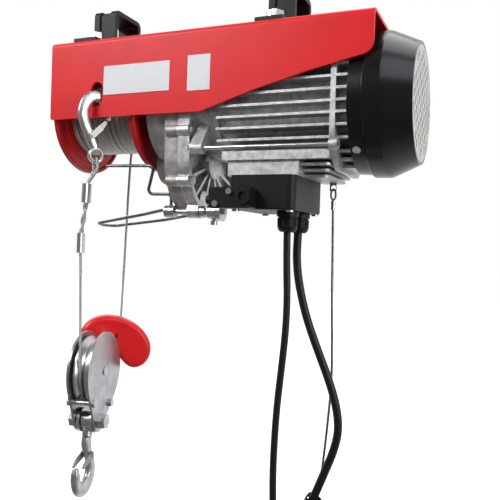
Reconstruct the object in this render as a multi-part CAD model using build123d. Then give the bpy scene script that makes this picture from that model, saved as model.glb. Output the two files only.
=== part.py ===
"""Electric wire-rope hoist: bracket, drum, gearbox, motor, limit lever, pulley block, cables and pendant.

Units are millimetres. X runs along the drum and motor axis towards the fan, Y towards the back, Z up.
The origin is on the bracket's top face, in the middle of the seat for the beam.
"""

from build123d import *
import math
import os

os.makedirs("parts", exist_ok=True)

# ---- Driving dimensions ----------------------------------------------------------------------------
AXIS_Z = -73.5  # drum and motor axis
LAY_Z = -127.5  # layshaft axis, straight below

BRACKET_LEFT, BRACKET_RIGHT = -151.0, 200.5
BRACKET_HALF, BRACKET_H, SHEET = 64.5, 83.0, 3.0

BEAM = 40.0  # square beam that the hoist hangs from
SADDLE_X = (-112.0, 99.0)
SADDLE_W, SADDLE_T, SADDLE_BOLT_Y = 28.0, 5.0, 43.0

FLANGE_R, BARREL_R = 60.0, 33.0
DRUM_LEFT, DRUM_RIGHT = -151.0, -47.0
ROPE_D, WOUND_R = 3.0, 38.7
FALL_R = WOUND_R + ROPE_D / 2 + 0.15  # the fall leaves from the top of the last layer

MODULE_1, PINION_1, GEAR_1 = 1.0, 12, 96
MODULE_2, PINION_2, GEAR_2 = 1.5, 12, 60

FLANGE_X = (4.0, 17.0)  # gearbox end flange
SHIELD_X = (10.0, 45.0)
MOTOR_X = (45.0, 162.0)
REAR_X = (162.0, 178.0)
COVER_X = (178.0, 191.5, 209.0, 232.5, 234.0)
MOTOR_BOTTOM = -145.4
FIN_HALF, FIN_T = 60.0, 2.4

BOX_X, BOX_Y = (66.0, 132.0), (-64.3, 24.4)
BOX_SPLIT, BOX_BOTTOM = -159.0, -178.2
GLAND_X, GLAND_Y = 118.0, (-40.0, -5.0)

BLOCK_C = Vector(-110.0, -27.0, -358.0)  # sheave centre
BLOCK_YAW, BLOCK_TILT = -12.5, 12.0
SHEAVE_R = 36.0  # at the rope's centre line
PLATE_R, PLATE_GAP, PLATE_T = 43.5, 20.0, 2.5
HOOK_DROP = 54.0  # sheave axle to hook bolt
PIN_X, PIN_DROP = 23.0, 35.0  # spacer pins
HOOK_SWIVEL = 2.0  # how far the load hook is turned from the plates

LEVER_Y, LEVER_Z = -27.0, -179.0  # axis of the limit lever's shaft
WIRE_D = 3.4

MAINS_D, CONTROL_D, SAFETY_D = 7.0, 8.5, 2.5

# The routes of the cords, by hand. Each starts at its gland, ferrule or coil.
MAINS_ROUTE = [(118, -40, -195), (118, -40, -202), (118.6, -40, -229), (120.2, -39.5, -262),
               (119.4, -39, -295), (116.2, -38.2, -330), (112.6, -37.4, -366), (110.8, -36.6, -402),
               (110.2, -36, -436), (111.4, -35.5, -468), (111.2, -35, -497), (111.5, -35, -525)]
CONTROL_ROUTE = [(117, -5, -195), (117, -5, -202), (116.2, -4.6, -222), (118.8, -3.6, -247),
                 (127, -2.4, -280), (139, -1.2, -311), (152.6, -0.6, -342), (161.6, -0.2, -368),
                 (165, 0, -392), (160.4, 0, -414), (151.6, 0, -437), (142, 0.4, -462),
                 (130.6, 1, -487), (126, 2, -511), (125, 2, -535)]
SAFETY_ROUTE = [(145.6, 20, -173), (146.8, 19.6, -215), (148, 18.6, -262), (150.2, 17.2, -306),
                (151.8, 15.6, -345), (150.4, 13, -381), (148.2, 10.8, -416), (145.6, 8.6, -450),
                (139.2, 8.4, -475)]
MAINS_TAIL = [(111.5, 1, -525), (111.2, 1, -545), (111.5, 1, -565.7)]
CONTROL_TAIL = [(125, 36.8, -535), (125.4, 36.8, -566), (125, 36.8, -597.7)]

# Each coil is one layer of turns side by side along Y: centre, radius to the cord, half width.
MAINS_COIL = (73.0, -17.0, -525.0, 38.5, 21.6)
CONTROL_COIL = (172.0, 19.4, -535.0, 47.0, 21.8)
PENDANT_X, PENDANT_Y, PENDANT_TOP = 125.0, 36.8, -618.0
PLUG_TOP = -582.0


# ---- Small helpers ---------------------------------------------------------------------------------
def box(x0, x1, y0, y1, z0, z1):
    return Pos((x0 + x1) / 2, (y0 + y1) / 2, (z0 + z1) / 2) * Box(x1 - x0, y1 - y0, z1 - z0)


def rod_x(radius, x0, x1, y=0.0, z=AXIS_Z):
    return Pos((x0 + x1) / 2, y, z) * Rot(0, 90, 0) * Cylinder(radius, x1 - x0)


def rod_y(radius, y0, y1, x, z):
    return Pos(x, (y0 + y1) / 2, z) * Rot(90, 0, 0) * Cylinder(radius, y1 - y0)


def rod_z(radius, z0, z1, x, y):
    return Pos(x, y, (z0 + z1) / 2) * Cylinder(radius, z1 - z0)


def ring_x(outer, inner, x0, x1, y=0.0, z=AXIS_Z):
    return rod_x(outer, x0, x1, y, z) - rod_x(inner, x0 - 1, x1 + 1, y, z)


def hexagon_z(across, z0, z1, x, y):
    prism = extrude(RegularPolygon(across / 2, 6, major_radius=False), z1 - z0)
    return Pos(x, y, z0) * prism


def turned_x(points):
    """Solid of revolution about the drum axis from (x, radius) points."""
    outline = make_face(Polyline(*[(x, r) for x, r in points], close=True))
    return Pos(0, 0, AXIS_Z) * revolve(outline, Axis.X)


def slab_x(face, x0, x1):
    """Extrudes a sketch drawn in (Y, Z) from x0 to x1."""
    return Pos(x0, 0, 0) * (Plane.YZ * extrude(face, x1 - x0))


def slab_y(face, y0, y1):
    """Extrudes a sketch drawn in (X, Z) from y0 to y1."""
    return Pos(0, y1, 0) * (Plane.XZ * extrude(face, y1 - y0))


def two_circles(r_top, r_low):
    """Hull of a circle on the drum axis and one on the layshaft, in (Y, Z)."""
    top = Pos(0, AXIS_Z) * Circle(r_top)
    low = Pos(0, LAY_Z) * Circle(r_low)
    return make_hull(top.edges() + low.edges())


def tapered_chain(nodes, thickness):
    """Flat bar through (x, y, radius) circles, lying in XY and centred on it."""
    face = None
    for (x0, y0, r0), (x1, y1, r1) in zip(nodes, nodes[1:]):
        link = make_hull((Pos(x0, y0) * Circle(r0)).edges() + (Pos(x1, y1) * Circle(r1)).edges())
        face = link if face is None else face + link
    return extrude(face, thickness / 2, both=True)


def corner_radii(points):
    """Largest soft bend at each corner: 0.45 of the shorter run over the tangent of half the turn."""
    points = [Vector(*p) for p in points]
    radii = []
    for a, b, c in zip(points, points[1:], points[2:]):
        turn = math.radians((b - a).get_angle(c - b))
        radii.append(0.45 * min((b - a).length, (c - b).length) / math.tan(turn / 2))
    return radii


def soft_tube(name, points, diameter):
    """A cord's tube along straight runs and tangent arcs."""
    radii = corner_radii(points)
    path = FilletPolyline(*points, radius=radii)
    tube = sweep(Plane(path @ 0, z_dir=path % 0) * Circle(diameter / 2), path)
    exact = math.pi * diameter**2 / 4 * path.length
    print(name, "length", round(path.length, 1), "volume share", round(tube.volume / exact, 4))
    print("  radii", [round(r) for r in radii])
    return tube


def bent_wire(points, radius, diameter):
    path = FilletPolyline(*points, radius=radius)
    return sweep(Plane(path @ 0, z_dir=path % 0) * Circle(diameter / 2), path)


def straight_rod(start, end, radius):
    start, end = Vector(*start), Vector(*end)
    length = (end - start).length
    return Plane(start, z_dir=end - start) * Pos(0, 0, length / 2) * Cylinder(radius, length)


def bolt_head_x(x, y, z, across, height, shank, length):
    """Hexagon head on the +X side of a shank that runs towards -X."""
    head = Pos(x, y, z) * Rot(0, 90, 0) * extrude(RegularPolygon(across / 2, 6, major_radius=False), height)
    return head + rod_x(shank / 2, x - length, x, y, z)


def save(name, shape):
    export_step(shape, f"parts/{name}.step")


def save_group(name, shapes):
    save(name, Compound(children=[s for shape in shapes for s in shape.solids()]))


# ---- Bracket and beam clamps -----------------------------------------------------------------------
SLOT_X, SLOT_TOP, SLOT_LOW, SLOT_W = -90.6, -46.0, -71.5, 15.0  # slot for the rope-end hook
GEARBOX_BOLTS = ((-5.0, -44.0), (-5.0, 44.0))


def bracket():
    outer = box(BRACKET_LEFT, BRACKET_RIGHT, -BRACKET_HALF, BRACKET_HALF, -BRACKET_H, 0)
    outer = fillet(outer.edges().filter_by(Axis.X).group_by(Axis.Z)[-1], 5.5)
    wall = BRACKET_HALF - SHEET
    inner = box(BRACKET_LEFT - 1, BRACKET_RIGHT + 1, -wall, wall, -BRACKET_H - 1, -SHEET)
    inner = fillet(inner.edges().filter_by(Axis.X).group_by(Axis.Z)[-1], 2.5)
    side = [(BRACKET_LEFT, 1), (BRACKET_LEFT, -BRACKET_H), (32, -BRACKET_H), (88, -65.5), (142, -51.5),
            (BRACKET_RIGHT, -39), (BRACKET_RIGHT, 1)]
    outline = make_face(FilletPolyline(*side, radius=[0, 2, 12, 60, 60, 12, 0], close=True))
    plate = (outer - inner) & slab_y(outline, -BRACKET_HALF - 1, BRACKET_HALF + 1)
    slot = Pos(SLOT_X, (SLOT_TOP + SLOT_LOW) / 2) * Rot(0, 0, 90) * SlotOverall(SLOT_TOP - SLOT_LOW, SLOT_W)
    plate -= slab_y(slot, -BRACKET_HALF - 1, -wall + 2)
    for x in SADDLE_X:
        for y in (-SADDLE_BOLT_Y, SADDLE_BOLT_Y):
            plate -= rod_z(5.25, -SHEET - 1, 1, x, y)
    for x, y in GEARBOX_BOLTS:
        plate -= rod_z(3.2, -SHEET - 1, 1, x, y)
    return plate


def saddle(x):
    """Ribbed strap that goes over the beam and is bolted down each side of it."""
    half, top = BEAM / 2 + 0.4, BEAM + 0.4
    outer = half + SADDLE_T
    foot, crown = 4.2, top + SADDLE_T
    profile = [(-60, 0.2), (-60, foot), (-outer, foot), (-outer, crown), (outer, crown), (outer, foot),
               (60, foot), (60, 0.2), (half, 0.2), (half, top), (-half, top), (-half, 0.2)]
    face = make_face(FilletPolyline(*profile, radius=[0, 1, 2, 7, 7, 2, 1, 0, 0, 3, 3, 0], close=True))
    strap = slab_x(face, x - SADDLE_W / 2, x + SADDLE_W / 2)
    bed, bevel, low = 1.8, 5.5, 10
    right = [(outer - bevel, crown - bed), (outer - bed, crown - bevel), (outer - bed, low), (outer + 1, low),
             (outer + 1, crown + 1)]
    groove = right + [(-y, z) for y, z in reversed(right)]
    strap -= slab_x(make_face(Polyline(*groove, close=True)), x - 7, x + 7)
    for y in (-SADDLE_BOLT_Y, SADDLE_BOLT_Y):
        strap -= rod_z(5.25, -1, 8, x, y)
    return strap


def saddle_bolt(x, y):
    head = hexagon_z(16, 7.0, 13.5, x, y)
    return head + rod_z(5, -16, 7.0, x, y)


def washer_z(x, y, z0, z1, outer, inner):
    return rod_z(outer, z0, z1, x, y) - rod_z(inner, z0 - 1, z1 + 1, x, y)


def make_bracket():
    places = [(x, y) for x in SADDLE_X for y in (-SADDLE_BOLT_Y, SADDLE_BOLT_Y)]
    save("bracket", bracket())
    save_group("beam_saddles", [saddle(x) for x in SADDLE_X])
    bolts = [saddle_bolt(x, y) for x, y in places]
    washers = [washer_z(x, y, 4.3, 6.9, 10.5, 5.05) for x, y in places]
    nuts = [hexagon_z(16, -11.1, -3.1, x, y) - rod_z(5.05, -12, 0, x, y) for x, y in places]
    save_group("saddle_bolts", bolts + washers + nuts)
    back, front = -BRACKET_HALF - 0.02, -BRACKET_HALF - 0.45
    plates = [box(-82.0, -3.2, front, back, -60.4, -30.6), box(17.3, 42.0, front, back, -62.4, -27.8)]
    save_group("blank_labels", plates)


# ---- Drum ------------------------------------------------------------------------------------------
def drum_shell():
    left, right, r = DRUM_LEFT, DRUM_RIGHT, FLANGE_R
    left_flange = [(left, 8.1), (left, 30), (left + 3, 32), (left + 3, 44), (left + 1, 46), (left + 1, 54),
                   (left, 55.5), (left, r - 1), (left + 1, r), (left + 6.5, r), (left + 8, r - 1.5),
                   (left + 8, r - 3.5), (left + 6, r - 5), (left + 6, 49), (left + 8.5, 47),
                   (left + 8.5, 44.5), (left + 7, 43), (left + 7, BARREL_R)]
    right_flange = [(right - 5.5, BARREL_R), (right - 5.5, r - 5), (right - 7.5, r - 3.5),
                    (right - 7.5, r - 1.5), (right - 6, r), (right - 1, r), (right, r - 1), (right, r - 7),
                    (right - 2.5, r - 9), (right - 2.5, 8.1)]
    outline = left_flange + right_flange
    return turned_x(outline)


def wound_rope():
    return ring_x(WOUND_R, BARREL_R + 0.05, DRUM_LEFT + 7.1, DRUM_RIGHT - 5.6)


def gear_face(module, teeth, phase_deg):
    """Involute gear outline with stub teeth, 25 degree pressure angle, and one tooth at the phase."""
    pitch = module * teeth / 2
    pressure = math.radians(25)
    base = pitch * math.cos(pressure)
    tip, root = pitch + 0.8 * module, pitch - 1.1 * module
    half_pitch = math.pi / (2 * teeth) - 0.07 * module / pitch
    involute_pitch = math.tan(pressure) - pressure

    def half_angle(radius):
        slope = math.acos(min(1.0, base / radius))
        return half_pitch + involute_pitch - (math.tan(slope) - slope)

    low = max(base, root)
    radii = [low + (tip - low) * step / 3 for step in range(4)]
    points = []
    for tooth in range(teeth):
        middle = math.radians(phase_deg) + 2 * math.pi * tooth / teeth
        flank = [(r, half_angle(r)) for r in radii]
        if root < low - 0.02:
            flank.insert(0, (root, half_angle(low)))
        for r, a in flank:
            points.append((r * math.cos(middle - a), r * math.sin(middle - a)))
        for r, a in reversed(flank):
            points.append((r * math.cos(middle + a), r * math.sin(middle + a)))
    return make_face(Polyline(*points, close=True))


def gear(module, teeth, phase_deg, x0, x1, z):
    face = Pos(0, z) * gear_face(module, teeth, phase_deg)
    return slab_x(face, x0, x1)


def make_drum():
    save("rope_drum", drum_shell())
    save("wound_rope", wound_rope())
    shaft = rod_x(8, DRUM_LEFT - 0.5, DRUM_RIGHT + 1) + rod_x(9.9, DRUM_RIGHT + 1, -8)
    save("drum_shaft", shaft)
    wheel = gear(MODULE_2, GEAR_2, -90 + 180 / GEAR_2, -31, -17, AXIS_Z)
    wheel -= ring_x(38, 20, -32, -29) + ring_x(38, 20, -19, -16) + rod_x(9.95, -40, 0)
    save("drum_gear", wheel)


# ---- Gearbox ---------------------------------------------------------------------------------------
BOSS_PLACES = ((50.5, -50.0), (54.0, -99.0), (50.5, -149.0))
HOUSING_BOSSES = [(side * y, z) for y, z in BOSS_PLACES for side in (-1, 1)]


def gear_housing():
    solid = rod_x(54, -36, 4) + rod_x(24, -44.5, -36) + rod_x(20, -42, -20, z=LAY_Z)
    solid += slab_x(two_circles(56, 54), -12, 4)
    solid = fillet(solid.edges().filter_by(GeomType.CIRCLE).group_by(Axis.X)[0], 3)
    for y, z in HOUSING_BOSSES:
        solid += rod_x(6, -9, 4, y, z)
    cavity = rod_x(50, -32, -14) + rod_x(14, -36, -8, z=LAY_Z) + slab_x(two_circles(50.5, 50.3), -9, 5)
    solid -= cavity + rod_x(17, -41, -30) + rod_x(11, -50, -8) + rod_x(9, -41, -36, z=LAY_Z)
    for y, z in HOUSING_BOSSES:
        solid -= rod_x(2.6, -8, 5, y, z)
    for x, y in GEARBOX_BOLTS:
        solid += rod_z(7, AXIS_Z + 26, -3.1, x, y) & box(-20, 4, -60, 60, -60, -3.1)
        solid -= rod_z(3.05, -19, 0, x, y)
    return solid - cavity


def gear_flange():
    """End flange with a rim, radial ribs and a boss for the layshaft and the lever's shaft."""
    x0, x1 = FLANGE_X
    solid = slab_x(two_circles(57.5, 55), x0, x1) - slab_x(two_circles(52.5, 50), x0 + 6.2, x1 + 1)
    solid += rod_x(15, x0 + 6, x1 + 2, z=LAY_Z)
    for angle in (200, 225, 250, 290, 315, 340):
        rib = Pos(0, 0, LAY_Z) * Rot(angle, 0, 0) * box(x0 + 6, x1 - 1, 12, 52, -1.6, 1.6)
        solid += rib
    lug = make_hull((Pos(LEVER_Y, LEVER_Z) * Circle(7)).edges() + (Pos(-20, -165) * Circle(8)).edges())
    solid += slab_x(lug, x0, x1)
    for y, z in HOUSING_BOSSES:
        solid += rod_x(6.2, x0, x1, y, z)
    solid = solid - rod_x(53.5, x1 - 2, x1 + 5) + rod_x(47, x0 + 6, x1 - 2)
    solid -= rod_x(17, x0 - 1, x0 + 5) + rod_x(9, x0 - 1, x0 + 7, z=LAY_Z) + rod_x(12, x0 - 1, x1)
    solid -= rod_x(3.06, x0 - 1, x1 + 1, LEVER_Y, LEVER_Z)
    for y, z in HOUSING_BOSSES:
        solid -= rod_x(2.6, x0 - 1, x1 + 1, y, z)
    return solid


def flange_screw(y, z):
    x = FLANGE_X[1] + 0.05
    return bolt_head_x(x, y, z, 8, 3.6, 5, 22)


def bearing(x0, x1, outer, inner, z=AXIS_Z):
    return ring_x(outer, inner, x0, x1, z=z)


def make_gearbox():
    save("gear_housing", gear_housing() - rod_x(47.2, 4, 5))
    save("gear_flange", gear_flange())
    lay = rod_x(4, -40.5, 9.5, z=LAY_Z) + gear(MODULE_2, PINION_2, 90, -32, -16, LAY_Z)
    save("layshaft_pinion", lay)
    wheel = gear(MODULE_1, GEAR_1, 90 + 180 / GEAR_1, -6.5, 1.5, LAY_Z)
    wheel -= ring_x(42, 12, -7.5, -4.5, z=LAY_Z) + ring_x(42, 12, -0.5, 2.5, z=LAY_Z)
    wheel -= rod_x(4.03, -10, 5, z=LAY_Z)
    save("layshaft_gear", wheel)


# ---- Motor -----------------------------------------------------------------------------------------
FIN_ROWS = [-5.0, -15.6, -26.6, -37.4, 6.0, 17.0, 28.0, 39.0]
LOWER_FINS = ((-134.4, 50.0, 1.5), (-139.4, 43.0, 4.0), (-144.1, 35.0, 7.0))  # height, reach, set back
TIE_ROD_YZ = ((-57.5, -118.0), (57.5, -118.0))


def rounded_square(half, top, bottom, radius):
    return Pos(0, (top + bottom) / 2) * RectangleRounded(2 * half, top - bottom, radius)


def fin_reach(row):
    """How far a fin's tip stands from the axis at a height above it."""
    return min(FIN_HALF, math.sqrt(68.0**2 - row**2))


def motor_front_shield():
    x0, x1 = SHIELD_X
    shell = turned_x([(x0 + 5.2, 47.2), (x0 + 12, 49.5), (x1 - 8, 52), (x1 - 0.1, 52), (x1 - 0.1, 47),
                      (x0 + 10, 44), (x0 + 5.2, 17.5)])
    shell += ring_x(20, 13.1, x0 + 5.2, x0 + 16)
    for y, z in TIE_ROD_YZ:
        inner = Pos(y * 0.7, (z + AXIS_Z) / 2) * Circle(7)
        lug = make_hull((Pos(y, z) * Circle(6)).edges() + inner.edges())
        shell += slab_x(lug, x0 + 11.5, x0 + 24) - rod_x(48, x0 + 11, x0 + 40)
    for y, z in TIE_ROD_YZ:
        shell -= rod_x(2.6, x0, x1 + 1, y, z)
    return shell


def motor_housing():
    x0, x1 = MOTOR_X
    solid = rod_x(48, x0, x1)
    for row in FIN_ROWS:
        reach = fin_reach(row)
        solid += box(x0 + 3, x1, -reach, reach, AXIS_Z + row - FIN_T / 2, AXIS_Z + row + FIN_T / 2)
    thick = slab_y(make_face(FilletPolyline((x0 + 9, -121.8), (x1, -121.8), (x1, -130.4), (x0 + 9, -130.4),
                                            radius=[0, 4, 4, 2], close=True)), -57, 57)
    solid += thick + box(x0 + 9, x1, -30, 30, -124, -112)
    for depth, reach, cut in LOWER_FINS:
        fin = box(BOX_X[1] - 2, x1 - cut, -reach, reach, depth - FIN_T / 2, depth + FIN_T / 2)
        solid += fillet(fin.edges().filter_by(Axis.Z).group_by(Axis.X)[-1], 5)
    solid += box(BOX_X[1] - 4, x1 - 12, -14, 14, -144, -128)
    solid += box(BOX_X[0] - 6.4, BOX_X[1], -54, 26, MOTOR_BOTTOM, -128)
    for row in (48.0, 55.0):
        solid += box(x0 + 3, x1, -38, 38, AXIS_Z + row - FIN_T / 2, AXIS_Z + row + FIN_T / 2)
    solid += box(x0 + 3, x1, -4, 4, AXIS_Z + 44, AXIS_Z + 56)
    solid -= rod_x(44, x0 - 1, x1 + 1)
    solid -= box(BOX_X[0] + 14, BOX_X[1] - 14, -20, 10, MOTOR_BOTTOM - 1, AXIS_Z - 40)
    for y, z in TIE_ROD_YZ:
        solid -= rod_x(3.4, x0 - 1, x1 + 1, y, z)
    return solid - box(141.3, 148.9, 18.7, 21.3, -146, -138.1)


def motor_rear_shield():
    x0, x1 = REAR_X
    solid = slab_x(rounded_square(61, AXIS_Z + 58, AXIS_Z - 68, 40), x0, x0 + 5)
    solid += rod_x(52, x0, x1)
    for row in FIN_ROWS + [-48.5, -55.0, -61.0]:
        reach = min(61.0, math.sqrt(max(65.0**2 - row**2, 1)))
        solid += box(x0 + 4, x1, -reach, reach, AXIS_Z + row - 1.2, AXIS_Z + row + 1.2)
    solid -= rod_x(46, x0 - 1, x0 + 10) + rod_x(12, x0, x1 + 1)
    solid += ring_x(18, 11, x0 + 3, x0 + 12)
    solid -= box(MOTOR_X[0], x0 + 60, -70, 70, -200, AXIS_Z - 66)
    for y, z in TIE_ROD_YZ:
        solid += rod_x(5.5, x0, x0 + 8, y, z)
        solid -= rod_x(2.55, x0 - 1, x0 + 9, y, z)
    return solid


def tie_rod(y, z):
    x0, x1 = SHIELD_X[0] + 11.4, REAR_X[0] + 8
    head = Pos(x0 - 3, y, z) * Rot(0, 90, 0) * extrude(RegularPolygon(4.4, 6, major_radius=False), 3)
    return head + rod_x(2.3, x0, x1 - 0.2, y, z)


def fan_cover():
    mouth, collar, shoulder, nose, face = COVER_X
    outside = [(mouth, 63.2), (mouth, 65.6), (collar - 1, 66.2), (collar, 68.2), (collar + 1.5, 69),
               (shoulder - 2, 69), (shoulder, 68.4), (nose, 57.8), (face, 57.2)]
    inside = [(face, 54.2), (nose - 1.5, 54.2), (nose - 1.5, 55.6), (shoulder - 1, 66.2),
              (shoulder - 3, 66.8), (collar + 2, 66.8), (collar, 64.2)]
    shell = turned_x(outside + inside)
    for y, z in COVER_SCREWS:
        angle = math.degrees(math.atan2(z - AXIS_Z, y))
        shell -= Pos(collar - 7, 0, AXIS_Z) * Rot(angle, 0, 0) * rod_y(2.1, 50, 80, 0, 0)
    return shell


COVER_SCREWS = ((-46.0, -121.0), (46.0, -121.0), (-46.0, -26.0), (46.0, -26.0))


def cover_screw(y, z):
    """Short screw through the cover's collar, pointing at the axis."""
    angle = math.degrees(math.atan2(z - AXIS_Z, y))
    screw = rod_y(2.0, 60.4, 66.4, 0, 0) + rod_y(3.8, 66.4, 68.4, 0, 0)
    screw -= box(-0.6, 0.6, 67.4, 69, -3, 3)
    return Pos(COVER_X[1] - 7, 0, AXIS_Z) * Rot(angle, 0, 0) * screw


def fan_grille():
    """Round plate with staggered upright slots."""
    pitch, slot_l, slot_w = 8.0, 8.4, 3.6
    face = Pos(0, AXIS_Z) * Circle(54.1)
    slots = []
    for column in range(-6, 7):
        y = column * pitch
        shift = (slot_l + 3.2) / 2 if column % 2 else 0
        for row in range(-5, 6):
            z = row * (slot_l + 3.2) + shift
            if math.hypot(y, abs(z) + slot_l / 2) < 51:
                slots.append(Pos(y, AXIS_Z + z) * Rot(0, 0, 90) * SlotOverall(slot_l, slot_w))
    face -= slots
    return slab_x(face, COVER_X[3], COVER_X[4])


def cooling_fan():
    x0, x1 = 184.0, 204.0
    solid = ring_x(14, 6.03, x0, x1) + ring_x(50, 14, x0, x0 + 2)
    for blade in range(8):
        solid += Pos(0, 0, AXIS_Z) * Rot(blade * 45, 0, 0) * box(x0, x1 - 2, 12, 50, -1.1, 1.1)
    return solid


def make_motor():
    save("motor_front_shield", motor_front_shield())
    save("motor_housing", motor_housing())
    save("motor_rear_shield", motor_rear_shield())
    save_group("tie_rods", [tie_rod(y, z) for y, z in TIE_ROD_YZ])
    save_group("stator", [ring_x(43.9, 27, 70, 138), ring_x(40, 29, 56, 69.9), ring_x(40, 29, 138.1, 152)])
    save("rotor_core", ring_x(26.4, 7.03, 68, 140))
    shaft = rod_x(7, 18, 184) + rod_x(6, 184, 206) + rod_x(4.6, 2, 18)
    shaft += gear(MODULE_1, PINION_1, -90, -7.5, 2.5, AXIS_Z)
    save("motor_shaft", shaft)
    save("brake_disc", ring_x(36, 7.03, 154.5, 158))
    save("cooling_fan", cooling_fan())
    save("fan_cover", fan_cover())
    save("fan_grille", fan_grille())


# ---- Terminal box and limit switch -----------------------------------------------------------------
def rounded_box(z0, z1, inset=0.0):
    width, depth = BOX_X[1] - BOX_X[0] - 2 * inset, BOX_Y[1] - BOX_Y[0] - 2 * inset
    face = RectangleRounded(width, depth, 7 - min(inset, 5))
    return Pos(sum(BOX_X) / 2, sum(BOX_Y) / 2, z0) * extrude(face, z1 - z0)


BOX_CORNERS = [(x, y) for x in (BOX_X[0] + 5.5, BOX_X[1] - 5.5) for y in (BOX_Y[0] + 5.5, BOX_Y[1] - 5.5)]


def make_terminal_box():
    base = rounded_box(BOX_SPLIT + 0.05, MOTOR_BOTTOM - 0.05)
    base -= rounded_box(BOX_SPLIT - 1, MOTOR_BOTTOM - 2.6, 2.6) + box(84, 114, -18, 8, -160, -140)
    tray = rounded_box(BOX_BOTTOM, BOX_SPLIT - 0.05)
    tray = fillet(tray.edges().group_by(Axis.Z)[0], 2.0)
    tray -= rounded_box(BOX_BOTTOM + 2.6, BOX_SPLIT + 1, 2.6)
    for y in GLAND_Y:
        tray -= rod_z(7.6, BOX_BOTTOM - 1, BOX_BOTTOM + 4, GLAND_X, y)
    for x, y in BOX_CORNERS:
        tray += rod_z(4.2, BOX_BOTTOM + 1, BOX_SPLIT - 0.05, x, y)
        base += rod_z(4.2, BOX_SPLIT + 0.05, MOTOR_BOTTOM - 1, x, y)
        tray -= rod_z(2.1, BOX_BOTTOM - 1, BOX_SPLIT + 1, x, y)
        base -= rod_z(2.1, BOX_SPLIT - 1, BOX_SPLIT + 10, x, y)
    save("terminal_base", base)
    save("terminal_tray", tray)
    save("run_capacitor", rod_x(6.8, 78, 108, y=12, z=BOX_BOTTOM + 9.8))


def gland(y):
    """Cable gland: neck through the tray, hexagon, ribbed dome nut."""
    top = BOX_BOTTOM
    body = rod_z(7.5, top - 1, top + 6, GLAND_X, y) + hexagon_z(19, top - 6, top - 0.05, GLAND_X, y)
    dome = rod_z(9.6, top - 20, top - 6, GLAND_X, y)
    dome = fillet(dome.edges().group_by(Axis.Z)[0], 3.5)
    body += dome
    bore = CONTROL_D if y > -20 else MAINS_D
    body -= rod_z(bore / 2 + 0.15, top - 23, top + 7, GLAND_X - (1 if y > -20 else 0), y)
    return body


SWITCH_X, SWITCH_Y, SWITCH_Z = (53.0, 95.0), (-80.0, -65.0), (-178.0, -158.5)
SWITCH_SCREWS = ((60.0, -174.0), (74.0, -162.5))


def make_switch():
    body = box(*SWITCH_X, *SWITCH_Y, *SWITCH_Z)
    body = chamfer(body.edges().filter_by(Axis.Y), 1.2)
    front = SWITCH_Y[0]
    body += rod_y(7.2, front - 2, front + 2, 88, -167) - rod_y(4.2, front - 3, front + 1, 88, -167)
    body += rod_x(4, 47.5, 54, -72, -170)
    for x, z in SWITCH_SCREWS:
        body -= rod_y(1.55, -90, -60, x, z)
    save("limit_switch", body)
    save_group("cable_glands", [gland(y) for y in GLAND_Y])


def make_fasteners():
    """Bearings and case screws, each kind as one group of separate solids."""
    bearings = [bearing(-40.98, -34, 16.95, 9.95), bearing(-40.9, -36.1, 8.95, 4.04, LAY_Z),
                bearing(4.1, 9.9, 8.95, 4.04, LAY_Z), bearing(15.4, 26, 13.05, 7.04),
                bearing(163.5, 172, 10.95, 7.04)]
    save_group("shaft_bearings", bearings)
    mount = [hexagon_z(10, 0.05, 4.5, x, y) + rod_z(3, -18.4, 0.05, x, y) for x, y in GEARBOX_BOLTS]
    low = BOX_BOTTOM
    tray = [rod_z(2.0, low + 0.1, BOX_SPLIT + 8, x, y) + rod_z(3.6, low - 1.8, low - 0.05, x, y)
            for x, y in BOX_CORNERS]
    switch = [rod_y(1.5, -81, -65.2, x, z) + rod_y(2.9, -82.2, -80.05, x, z) for x, z in SWITCH_SCREWS]
    screws = [flange_screw(y, z) for y, z in HOUSING_BOSSES] + [cover_screw(y, z) for y, z in COVER_SCREWS]
    save_group("case_screws", screws + mount + tray + switch)


# ---- Limit lever -----------------------------------------------------------------------------------
def make_lever():
    y, z = LEVER_Y, LEVER_Z
    shaft = rod_x(3, -17, 46, y, z)
    save("lever_shaft", shaft)
    collar = ring_x(7.6, 3.03, 27.5, 38, y, z) + ring_x(9.6, 3.03, 38, 43, y, z)
    collar = collar - rod_x(1.6, 37, 44, y - 5.6, z + 2.5) - rod_z(2.05, z - 20, z, 33, y)
    screw = rod_z(2.0, z - 9, z - 3.1, 33, y) + rod_z(3.6, z - 13.5, z - 9, 33, y)
    spacer = ring_x(6.2, 3.06, 18.3, 23.5, y, z)
    loop = bent_wire([(-17.7, y - 4, z + 2.8), (-60, -13, -181.8), (-141, 13, -191.8), (-146, 29, -193.5),
                      (-140, 45, -194), (-60, 32, -185.8), (-14.8, 12, -180.6), (-14.8, y + 3.5, z - 0.6)],
                     (40, 9, 9, 9, 60, 6), WIRE_D)
    feeler = bent_wire([(-19.9, y + 2.6, -182), (-19.9, y + 2.6, -160.6), (-47.5, -28, -160.6),
                        (-38.5, -30.5, -130.6), (-100, -30.5, -129.6)], (4, 5, 4), WIRE_D)
    save_group("lever_wires", [loop, feeler])
    clamp = rod_x(6.4, -24, -12.6, y, z)
    cut = rod_x(3.0, -17.05, -12, y, z) + loop + feeler
    save_group("lever_fittings", [collar, screw, spacer, clamp - cut])


# ---- Pulley block ----------------------------------------------------------------------------------
def axes_of_block():
    yaw, tilt = math.radians(BLOCK_YAW), math.radians(BLOCK_TILT)
    across = Vector(math.cos(yaw), -math.sin(yaw), 0)
    level = Vector(math.sin(yaw), math.cos(yaw), 0)
    along = level * math.cos(tilt) - Vector(0, 0, 1) * math.sin(tilt)
    return across, along, level


ACROSS, ALONG, LEVEL = axes_of_block()
BLOCK = Plane(BLOCK_C, x_dir=ALONG, z_dir=ACROSS)  # local x towards the back, y up, z along the axle
HOOK_PIN = BLOCK_C + Vector(*(BLOCK.y_dir * -HOOK_DROP))
REAR_TANGENT_ANGLE = -22.0


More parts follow.
